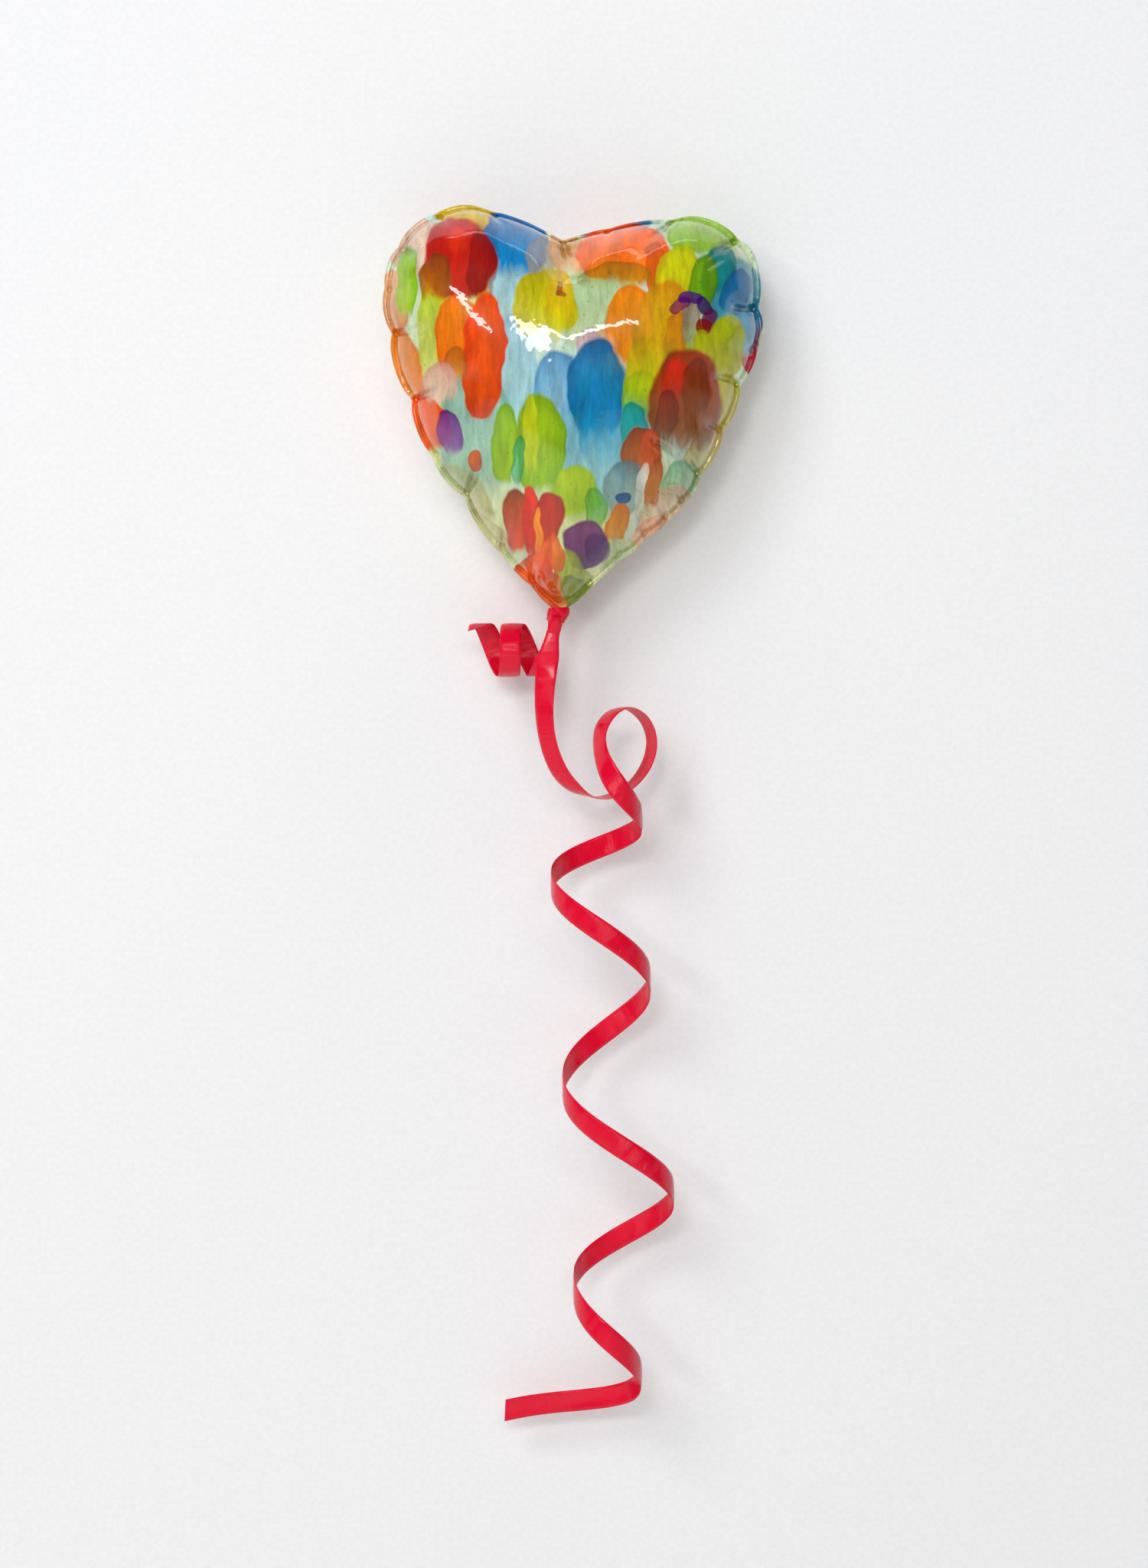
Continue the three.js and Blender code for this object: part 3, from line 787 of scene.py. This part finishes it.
# Brush dabs in the order they were painted: x and z of the middle, half width and half height in
# millimetres, turn in degrees, colour at the top and at the bottom, strength and length of tail.
DABS = [
    # washes
    (-13, 12, 6, 14, 0, "#8fb6d0", "#b4cdd2", 0.85, 0.6),
    (7, 12, 9, 12, 0, "#a9bf93", "#c3c79b", 0.85, 0.5),
    (-13, -3, 5.5, 15, 0, "#a9c6d3", "#9fc4cc", 0.9, 0.5),
    (4.5, -22, 9, 15, 0, "#84b6cf", "#8fbcc4", 0.92, 0.5),
    (-22, -17, 8.5, 15, 0, "#93b8b2", "#9dbba6", 0.92, 0.5),
    (-25, -32, 6, 9, -35, "#b3bd95", "#c4b78c", 0.9, 0.4),
    (-20, -42, 5, 9, -38, "#b7b78f", "#c3bd97", 0.9, 0.4),
    (-31, 5.5, 4.5, 14, 0, "#b9ca5c", "#cfcb8e", 0.95, 0.5),
    (-41.5, 13, 4, 9, 8, "#dfa888", "#e08a5c", 0.85, 0.4),
    (-38.5, -1, 4, 9, -12, "#e08a50", "#e87a4a", 0.85, 0.4),
    (35.5, -12, 3.2, 8.5, 14, "#bdbd5c", "#d0b488", 0.85, 0.4),
    (30.5, -22, 3.4, 9, 26, "#c9b078", "#b0b078", 0.85, 0.4),
    (25, -29, 4, 6.5, 24, "#93bda4", "#b3c690", 0.95, 0.5),
    (13, -46, 5, 6, -45, "#b9c69a", "#c9cba8", 0.9, 0.4),
    (43, 9, 2.2, 6, 5, "#5a3a86", "#8c3564", 0.95, 0.3),
    (42, 1, 2.4, 7.5, -22, "#b03a55", "#c03c3a", 0.95, 0.3),
    (38.5, 13, 6.5, 11, 0, "#5b9fae", "#3d8fb5", 0.9, 0.3),
    (22, -36, 5, 8.5, 35, "#d9b8a0", "#d8c4ae", 0.85, 0.4),
    (27, 2, 9, 8, 0, "#b5bf4c", "#a9b45a", 0.9, 0.6),
    (33.5, -8, 4.5, 9, 12, "#c2c054", "#c9b878", 0.9, 0.4),
    (10, -14, 8, 12, 0, "#5fa6c6", "#86bccb", 0.85, 0.6),
    # upper left lobe
    (-36.5, 27.5, 6.5, 8, -35, "#d7b4a2", "#e0c5b8", 0.95, 0.3),
    (-24, 34.2, 7.5, 3.6, 4, "#dcbc12", "#cfa01c", 0.95, 0.2),
    (-12.6, 28, 7.6, 8.5, 4, "#1668b4", "#4b93cb", 0.97, 0.6),
    (-6.8, 25, 3, 4.5, 0, "#8b8a8c", "#a99e90", 0.75, 0.4),
    (-1, 25.8, 3.7, 6.2, 0, "#d29a74", "#e0b08a", 0.9, 0.5),
    (-38.2, 18.5, 2.6, 8.5, 2, "#86bd33", "#a4c54e", 0.95, 0.5),
    (-25.8, 24.2, 8.4, 9.4, -4, "#c9150a", "#b41c0f", 0.99, 0.2),
    # painted highlight: a brighter orange spot on the red dab
    (-26.5, 28, 2.2, 3.4, 0, "#e2390f", "#d02a10", 0.7, 0.8),
    (-20.6, 22.8, 3.4, 8.6, -3, "#7a1a24", "#8c2a25", 0.62, 0.5),
    (-31.2, 19.6, 3.8, 5.8, 2, "#8d4a22", "#bd8148", 0.9, 0.5),
    (-26.4, 6, 4.9, 10, 2, "#ee7a08", "#e8670c", 0.96, 0.35),
    (-20, 2, 4.9, 14.6, 2, "#f25303", "#e24704", 0.98, 0.06),
    (-26.5, -1, 2.6, 4.5, 0, "#a2652a", "#b98552", 0.75, 0.5),
    # upper right lobe
    (31, 30.2, 8.6, 5, 8, "#a3c46c", "#9cbd60", 0.96, 0.2),
    (9, 31.9, 10, 1.6, -4, "#2a6c9c", "#3b80a0", 0.9, 0.2),
    (12.4, 25.6, 10.8, 6.8, -3, "#f45c06", "#f07a10", 0.98, 0.3),
    (15, 22, 4, 5.5, 0, "#ff7a08", "#f08a18", 0.8, 0.7),
    (19.6, 22.3, 2, 6.6, 3, "#c64c10", "#d8741c", 0.88, 0.4),
    (34.6, 21.4, 4, 6, 12, "#23727c", "#3f9288", 0.95, 0.4),
    (25.2, 20.6, 5.2, 7, 8, "#c6c806", "#cdbf0e", 0.98, 0.2),
    (31, 18.2, 3.3, 7, 6, "#6f9f14", "#6aa030", 0.97, 0.25),
    (38.6, 16.4, 3.2, 5.6, 14, "#1568a4", "#2f86b6", 0.97, 0.3),
    (39.8, 6.5, 3.6, 5.6, 8, "#7fb2cf", "#9fc3cc", 0.9, 0.5),
    # middle row
    (-6, 13.4, 7.5, 8.4, 2, "#cdbb06", "#c9c22a", 0.98, 0.5),
    (-2.6, 15, 3.2, 6, 0, "#e8bc06", "#e0c410", 0.7, 0.6),
    (-2.7, 17.2, 0.8, 1.5, 30, "#b0500f", "#a85a14", 0.85, 0.1),
    (-2.2, 16.2, 1.4, 0.5, 20, "#b0500f", "#a85a14", 0.8, 0.1),
    (10, 20.4, 8.8, 3.4, -6, "#8a7434", "#a9b07c", 0.66, 0.8),
    (13.8, 8.4, 5.4, 9.6, 6, "#f08a14", "#ec8a28", 0.96, 0.4),
    (6.5, 3.8, 5.2, 4, 0, "#e3b48a", "#e6bfa6", 0.85, 0.5),
    (21.5, 9.5, 6.2, 9.5, 12, "#dc9a0e", "#cda41a", 0.96, 0.4),
    (17.5, -1.5, 5, 8, 16, "#cfae14", "#b9bd3a", 0.94, 0.4),
    (24.5, 6.5, 2.6, 5.5, 6, "#c8702a", "#d0a060", 0.7, 0.6),
    (4.5, 3.4, 3.4, 4.6, 0, "#b9a6ba", "#c2bac6", 0.75, 0.5),
    (28.6, 8.5, 2.6, 5.6, 0, "#8f9682", "#a2a888", 0.85, 0.5),
    (28.4, 11.6, 2.6, 3.4, 0, "#9a8a80", "#a89a88", 0.8, 0.5),
    (25.2, 13.4, 2.4, 1.5, -32, "#8a4a70", "#84406c", 0.85, 0.2),
    (28, 15.2, 2.9, 1.5, -6, "#553078", "#55307a", 0.92, 0.1),
    (31.4, 13.8, 2.6, 1.7, 34, "#452a70", "#502a66", 0.92, 0.1),
    (33, 10.6, 1.6, 3, 8, "#55285c", "#8a1c28", 0.9, 0.2),
    (31.6, 8.8, 2.1, 2, 0, "#92191f", "#8c2a22", 0.85, 0.3),
    (36.4, 3.4, 4.2, 7.8, 8, "#c0c408", "#b8b51c", 0.97, 0.25),
    (30.8, 2.4, 2.4, 6, 4, "#b4ba18", "#b9b43a", 0.9, 0.4),
    (-3.2, -5.4, 5.2, 8.8, 6, "#6d9cc4", "#9dc0d4", 0.95, 0.5),
    (6.2, -6.5, 6.5, 12, 0, "#0b6ba2", "#2b8cba", 0.97, 0.6),
    (10, -3.5, 2.7, 6, 0, "#6f8e9c", "#4b93b4", 0.6, 0.6),
    (16.2, -7.6, 4, 6.4, 8, "#b4be3a", "#8fbb62", 0.92, 0.5),
    (14.6, -15.6, 3.2, 6, 6, "#2f9898", "#4aa99a", 0.9, 0.5),
    (26.6, -9.8, 8.6, 13, 6, "#b5361a", "#7a6244", 0.97, 0.5),
    (24.4, -4.2, 3, 5.2, 8, "#e22604", "#c8381a", 0.92, 0.6),
    (29.2, -6.5, 3.2, 7.5, 0, "#7e3022", "#8a5a3c", 0.75, 0.6),
    (22.2, -12.6, 2.8, 6.5, 8, "#8a2a22", "#6f5544", 0.8, 0.6),
    # lower row
    (16.6, -20.8, 4.6, 5.8, 4, "#a2401a", "#b2642a", 0.97, 0.3),
    (18.4, -20.4, 2.6, 5.2, 0, "#d8500a", "#c85c14", 0.9, 0.4),
    (12.6, -29.6, 4.8, 6.8, 8, "#66888e", "#9fb0a6", 0.94, 0.4),
    (12.2, -31.2, 1.9, 1.5, 0, "#1c4a80", "#2c5a86", 0.88, 0.2),
    (16.6, -29, 1.4, 5.6, 4, "#dcdcce", "#d6d6c6", 0.85, 0.3),
    (14.6, -37.6, 1.2, 5, 26, "#d9dccb", "#d2d6bf", 0.8, 0.3),
    (19.2, -28.4, 1.9, 5.8, 8, "#b95c16", "#c8782a", 0.93, 0.3),
    (11.4, -37, 3, 4.6, 12, "#d8781e", "#e0a052", 0.94, 0.3),
    (-15.3, -19.2, 2.9, 9.4, 2, "#86b010", "#9cba12", 0.97, 0.25),
    (-6.8, -19.2, 5.8, 12, -2, "#98b40a", "#88b41e", 0.97, 0.35),
    (-9.2, -17, 1.9, 9.2, 0, "#cfd30c", "#c6ce1e", 0.85, 0.4),
    (-12, -23, 1.2, 6.2, 4, "#4c9c66", "#5aa878", 0.8, 0.4),
    (-22.3, -22.5, 1.7, 2.5, 0, "#cb5a14", "#c4540f", 0.98, 0.06),
    (-32.6, -14, 4.6, 7, -24, "#f05a2c", "#ea6a44", 0.95, 0.4),
    (-28, -16, 3, 5.6, -16, "#6a2f86", "#8c5a9c", 0.93, 0.4),
    (-30.2, -5, 4.2, 5, -10, "#cfa6a2", "#dcc0b2", 0.88, 0.5),
    # tip
    (1.4, -30.6, 5.3, 6.6, -4, "#b7cc0e", "#a8c65c", 0.97, 0.5),
    (5.6, -34, 2.4, 5, 2, "#63aa5a", "#7fb86a", 0.8, 0.5),
    (-12.2, -36.6, 3.5, 7.8, -6, "#8f4a30", "#d9472a", 0.97, 0.3),
    (-9, -36.6, 2, 9, -2, "#e41c08", "#dc3410", 0.96, 0.3),
    (-4.9, -36, 3.3, 6.4, 4, "#b4140a", "#c23212", 0.98, 0.3),
    (-6.6, -45, 2.4, 8, 3, "#c8400f", "#d85a1c", 0.93, 0.3),
    (-7.3, -39.8, 1, 6.2, 0, "#ffa808", "#f8900c", 0.92, 0.3),
    (3.8, -42.1, 5.4, 5.5, 0, "#7e4a74", "#5c2c62", 0.98, 0.08),
    (6.7, -43.2, 2.9, 4.1, 0, "#4e2464", "#47205c", 0.7, 0.5),
    (-9.6, -50.6, 3.6, 7.4, 28, "#d9501c", "#c8480f", 0.96, 0.2),
    (-8.4, -47, 1.3, 7, 30, "#f09878", "#ea7850", 0.8, 0.3),
    (0.4, -50.6, 4.2, 7.4, -14, "#a8b160", "#98a55a", 0.96, 0.2),
    (-3.4, -44.6, 1.6, 5, -4, "#e0876a", "#d85a30", 0.85, 0.3),
    (-6.2, -55, 3.4, 6.5, 24, "#d8581a", "#b8400c", 0.97, 0.1),
    (-2, -56, 1.4, 6, 0, "#e2b48c", "#c87038", 0.9, 0.2),
    (2.2, -55.4, 3.4, 6.5, -26, "#8e9c50", "#6f8440", 0.97, 0.1),
    (19, -39.6, 3.2, 5.6, 42, "#e2b094", "#dcb8a2", 0.94, 0.3),
]

PAINT_CELL = 10.0  # side of a square of the paint grid
WANDER = 3.4  # how far the dabs' edges wander, from side to side
DAB_MARGIN = 3.5  # how far a dab can pass its own size, wandering and seen in perspective
PAINT_VIEW = (0.9, -900.0, -97.9)  # the dabs are laid out as they are seen from here, in millimetres


def glaze_surface(n, shader, point):
    """The glassy coat: slow ripples, pinholes and a few specks."""
    pits = n.add("ShaderNodeTexVoronoi", {"Vector": point, "Scale": 0.22, "Randomness": 1.0})
    pit = n.ramp(pits.outputs["Distance"], 0.045, 0.02)
    ripple = n.noise(point, 0.11, 1.0)
    fine = n.noise(point, 0.55, 1.0)
    height = n.math("MULTIPLY_ADD", fine, 0.17, ripple)
    height = n.math("MULTIPLY_ADD", pit, -0.2, height)
    bump = n.add("ShaderNodeBump", {"Strength": 1.0, "Distance": 0.0002, "Height": height})
    n.set(shader, "Normal", bump.outputs[0])
    n.set(shader, "Coat Normal", bump.outputs[0])
    shader.inputs["Coat Weight"].default_value = 1.0
    shader.inputs["Coat Roughness"].default_value = 0.02
    shader.inputs["Specular IOR Level"].default_value = 0.15
    shader.inputs["Coat IOR"].default_value = 1.52
    n.set(shader, "Roughness", n.ramp(ripple, 0.3, 0.7, 0.16, 0.3))
    return pit


def millimetres(n):
    """The point of the surface, in millimetres of the frame."""
    place_now = n.add("ShaderNodeTexCoord").outputs["Object"]
    return n.vector("MULTIPLY", place_now, (1000, 1000, 1000))


def seen_flat(n, point):
    """Where a point of the front lies as seen from PAINT_VIEW, flattened on to the seam's plane."""
    depth = n.add("ShaderNodeSeparateXYZ", {0: point}).outputs[1]
    ratio = n.math("DIVIDE", SEAM_Y - PAINT_VIEW[1], n.math("SUBTRACT", depth, PAINT_VIEW[1]))
    from_view = n.vector("SUBTRACT", point, PAINT_VIEW)
    scaled = n.add("ShaderNodeVectorMath", {0: from_view, "Scale": ratio}, operation="SCALE").outputs[0]
    return n.vector("ADD", scaled, PAINT_VIEW)


def dabs_over(cell):
    """The dabs that reach into a square of the paint grid, in the order they were painted."""
    found = []
    for dab in DABS:
        x, z, wide, tall, turn = dab[:5]
        c, s = abs(math.cos(math.radians(turn))), abs(math.sin(math.radians(turn)))
        reach = (wide * c + tall * s + DAB_MARGIN, wide * s + tall * c + DAB_MARGIN)
        middle = [(k + 0.5) * PAINT_CELL for k in cell]
        if all(abs(a - m) < r + PAINT_CELL / 2 for a, m, r in zip((x, z), middle, reach)):
            found.append(dab)
    return found


def painted_material(cell):
    """Watery underglaze dabs over cream, under clear glaze, fading to plain glaze near the wall.

    One material holds only the dabs of its own square of the paint grid, so that each stays short.
    """
    material, n, shader = new_material("painted_glaze_%d_%d" % cell)
    point = millimetres(n)
    noise = {"Vector": point, "Scale": 0.14, "Detail": 1.5, "Roughness": 0.5}
    wander = n.add("ShaderNodeTexNoise", noise).outputs["Color"]
    offset = n.vector("MULTIPLY", n.vector("SUBTRACT", wander, (0.5, 0.5, 0.5)), (WANDER, 0, WANDER))
    painted_at = n.vector("ADD", seen_flat(n, point), offset)
    streaks = n.noise(n.stretched(painted_at, (1.0, 0.0, 0.13)), 0.9, 3.0, 0.6)
    streaks_centred = n.math("SUBTRACT", streaks, 0.5)
    ragged = n.math("MULTIPLY", streaks_centred, 1.6)  # how far the tails feather
    wash = n.noise(n.stretched(point, (1.0, 0.3, 0.5)), 0.05, 2.0)
    colour = n.mix(n.ramp(wash, 0.35, 0.65), linear("#c9cf9e"), linear("#b7cfc4"))
    for x, z, wide, tall, turn, top, bottom, strength, tail in dabs_over(cell):
        dab = {
            "Under": colour, "Point": painted_at, "Centre": (x, 0, z), "Turn": (0, math.radians(turn), 0),
            "Size": (wide, 1e4, tall), "Top": linear(top), "Bottom": linear(bottom),
            "Strength": strength, "Tail": tail, "Streaks": ragged,
        }
        colour = n.add("ShaderNodeGroup", dab, node_tree=bpy.data.node_groups["dab"]).outputs[0]
    grain = n.noise(point, 2.2, 3.0, 0.7)
    broad = n.noise(n.stretched(point, (1.0, 0.4, 0.3)), 0.28, 4.0, 0.6)
    light = n.math("MULTIPLY_ADD", streaks_centred, 0.9, 0.97)
    light = n.math("MULTIPLY_ADD", n.math("SUBTRACT", grain, 0.5), 0.35, light)
    light = n.math("MULTIPLY_ADD", n.math("SUBTRACT", broad, 0.5), 1.1, light)
    grey = n.add("ShaderNodeCombineColor", {0: light, 1: light, 2: light}).outputs[0]
    colour = n.mix(1.0, colour, grey, "MULTIPLY")
    colour = n.add("ShaderNodeHueSaturation", {"Saturation": 1.22, "Color": colour}).outputs[0]
    pit = glaze_surface(n, shader, point)
    specks = n.ramp(n.noise(point, 1.3, 0.0), 0.79, 0.84, 0.0, 0.5)
    colour = n.mix(n.math("MAXIMUM", n.math("MULTIPLY", pit, 0.55), specks), colour, linear("#5a4a3a"))
    depth = n.add("ShaderNodeSeparateXYZ", {0: point}).outputs[1]
    colour = n.mix(n.ramp(depth, -9.0, -5.0), colour, linear("#e8dfcc"))
    n.set(shader, "Base Color", colour)
    return material


def paint_heart(half):
    """Gives each face the material of the square of the paint grid that it lies in."""
    cells = {}
    for face in half.data.polygons:
        cell = tuple(int(math.floor(v / MM / PAINT_CELL)) for v in (face.center.x, face.center.z))
        if cell not in cells:
            cells[cell] = len(cells)
            name = "painted_glaze_%d_%d" % cell
            half.data.materials.append(bpy.data.materials.get(name) or painted_material(cell))
        face.material_index = cells[cell]


def ribbon_material():
    """Shiny red polypropylene with fine cross ridges, and lighter red painted in as sheen where they
    crinkle most.
    """
    material, n, shader = new_material("ribbon_red")
    along = n.add("ShaderNodeAttribute", attribute_name="along").outputs["Fac"]
    across = n.add("ShaderNodeAttribute", attribute_name="across").outputs["Fac"]
    place_on = n.add("ShaderNodeCombineXYZ", {0: along, 1: across, 2: 0.0}).outputs[0]
    lines = n.noise(n.stretched(place_on, (1.0, 0.25, 1.0)), 2.4, 4.0, 0.7)
    sheen_and_crinkle_patches = n.noise(n.stretched(place_on, (1.0, 0.5, 1.0)), 0.25, 2.0)
    colour = n.mix(n.ramp(lines, 0.3, 0.75), linear("#d00029"), linear("#da002d"))
    # painted sheen: the red is lighter where the ridges crinkle most
    colour = n.mix(n.ramp(sheen_and_crinkle_patches, 0.4, 0.75, 0.0, 0.4), colour, linear("#ea0538"))
    n.set(shader, "Base Color", colour)
    n.set(shader, "Roughness", n.ramp(lines, 0.3, 0.75, 0.06, 0.16))
    crinkled = n.ramp(sheen_and_crinkle_patches, 0.42, 0.6, 0.15, 1.0)
    bump = n.add("ShaderNodeBump", {"Strength": crinkled, "Distance": 0.00022, "Height": lines})
    n.set(shader, "Normal", bump.outputs[0])
    shader.inputs["IOR"].default_value = 1.5
    shader.inputs["Specular IOR Level"].default_value = 0.32
    return material


def neck_material():
    """Plain cream glaze for the neck under the ribbon."""
    material, n, shader = new_material("cream_glaze")
    point = millimetres(n)
    pit = glaze_surface(n, shader, point)
    warm = n.mix(n.ramp(n.noise(point, 0.5, 3.0), 0.3, 0.7), linear("#e8dcc2"), linear("#c9bb9a"))
    n.set(shader, "Base Color", n.mix(n.math("MULTIPLY", pit, 0.5), warm, linear("#5a4a3a")))
    return material


def dress(thing, material):
    """Gives an object one material in place of those it has."""
    thing.data.materials.clear()
    thing.data.materials.append(material)


# ------------ stage
WORLD_STRENGTH = 0.13  # what lights the scene
WORLD_SEEN = 0.72  # as the camera sees it, past the wall's edges
# Lamps that aim at the heart: name, place, size, turn about the way it aims in degrees, power in
# watts, and whether the glaze mirrors it. The first four are the reflections on the glaze.
LAMPS = [
    ("left_lamp", (-0.88, -1.25, 0.38), (0.66, 0.07), -34, 2.3, True),
    ("blob_lamp", (-0.2, -1.25, 0.23), (0.26, 0.24), 0, 2.6, True),
    ("long_lamp", (0.13, -1.25, 0.28), (0.62, 0.06), -10, 1.8, True),
    ("edge_lamp", (0.0, -0.12, 1.4), (1.6, 0.1), 0, 1.2, True),
    ("key", (-0.8, -1.3, 1.0), (0.6, 0.6), 0, 9.5, False),
    ("overhead", (0.1, -0.45, 1.5), (1.8, 0.7), 0, 6.5, False),
    ("fill", (-0.5, -2.2, 0.2), (1.8, 1.8), 0, 13.0, False),
    ("back_lamp", (-0.6, 1.5, 0.5), (1.4, 1.4), 0, 12.0, False),
]


def plane(name, material, **placed):
    """A 4 m square that is part of the stage."""
    bpy.ops.mesh.primitive_plane_add(size=4, **placed)
    made = bpy.context.object
    made.name = name
    dress(made, material)
    return made


def pale_paint(name, grain_scale, dark, light, roughness):
    """Matt paint with a fine grain."""
    material, n, shader = new_material(name)
    grain = n.noise(n.add("ShaderNodeTexCoord").outputs["Object"], grain_scale, 3.0)
    n.set(shader, "Base Color", n.mix(n.ramp(grain, 0.3, 0.7), linear(dark), linear(light)))
    shader.inputs["Roughness"].default_value = roughness
    return material, n, shader


def make_stage():
    """A pale wall that is see-through from behind, and a pale floor."""
    wall_paint, n, shader = pale_paint("wall_paint", 900.0, "#e3e4e6", "#e7e8ea", 0.75)
    clear = n.add("ShaderNodeBsdfTransparent")
    behind = n.add("ShaderNodeNewGeometry").outputs["Backfacing"]
    mixed = n.add("ShaderNodeMixShader", {0: behind, 1: shader.outputs[0], 2: clear.outputs[0]})
    n.set(n.tree.nodes["Material Output"], "Surface", mixed.outputs[0])
    wall = plane("wall", wall_paint, location=(0, 0.0006, 0), rotation=(math.pi / 2, 0, 0))
    wall.visible_shadow = False  # so that the back lamp lights the heart's back
    floor_paint = pale_paint("floor_paint", 300.0, "#e4e2df", "#e8e6e3", 0.8)[0]
    floor = plane("floor", floor_paint, location=(0, 0, -0.42))


def light_world():
    """An even pale world, brighter where the camera sees it than as a light."""
    world = bpy.data.worlds.new("studio")
    bpy.context.scene.world = world
    world.use_nodes = True
    around = Nodes(world.node_tree)
    seen = around.add("ShaderNodeLightPath").outputs["Is Camera Ray"]
    background = world.node_tree.nodes["Background"]
    background.inputs["Color"].default_value = (1.0, 0.995, 0.99, 1)
    around.set(background, "Strength", around.ramp(seen, 0.0, 1.0, WORLD_STRENGTH, WORLD_SEEN))


def add_lamps():
    """Soft studio lamps, which the camera doesn't see."""
    for name, where, size, turn, power, mirrored in LAMPS:
        data = bpy.data.lights.new(name, "AREA")
        data.shape = "RECTANGLE"
        data.size, data.size_y = size
        data.energy = power
        lamp = bpy.data.objects.new(name, data)
        bpy.context.scene.collection.objects.link(lamp)
        lamp.location = where
        aim = (-lamp.location).to_track_quat("-Z", "Y")
        lamp.rotation_euler = (aim @ Quaternion((0, 0, 1), math.radians(turn))).to_euler()
        lamp.visible_camera = False
        lamp.visible_glossy = mirrored


# ------------ the scene
ribbons = make_ribbons()
heart_front, heart_back = make_heart()
knots = make_knot()

make_dab_group()
paint_heart(heart_front)
paint_heart(heart_back)
dress(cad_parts["neck_stub"], neck_material())
ribbon_red = ribbon_material()
for piece in (*ribbons, *knots):
    dress(piece, ribbon_red)
make_stage()
light_world()
add_lamps()
bpy.context.scene.view_settings.view_transform = "Standard"
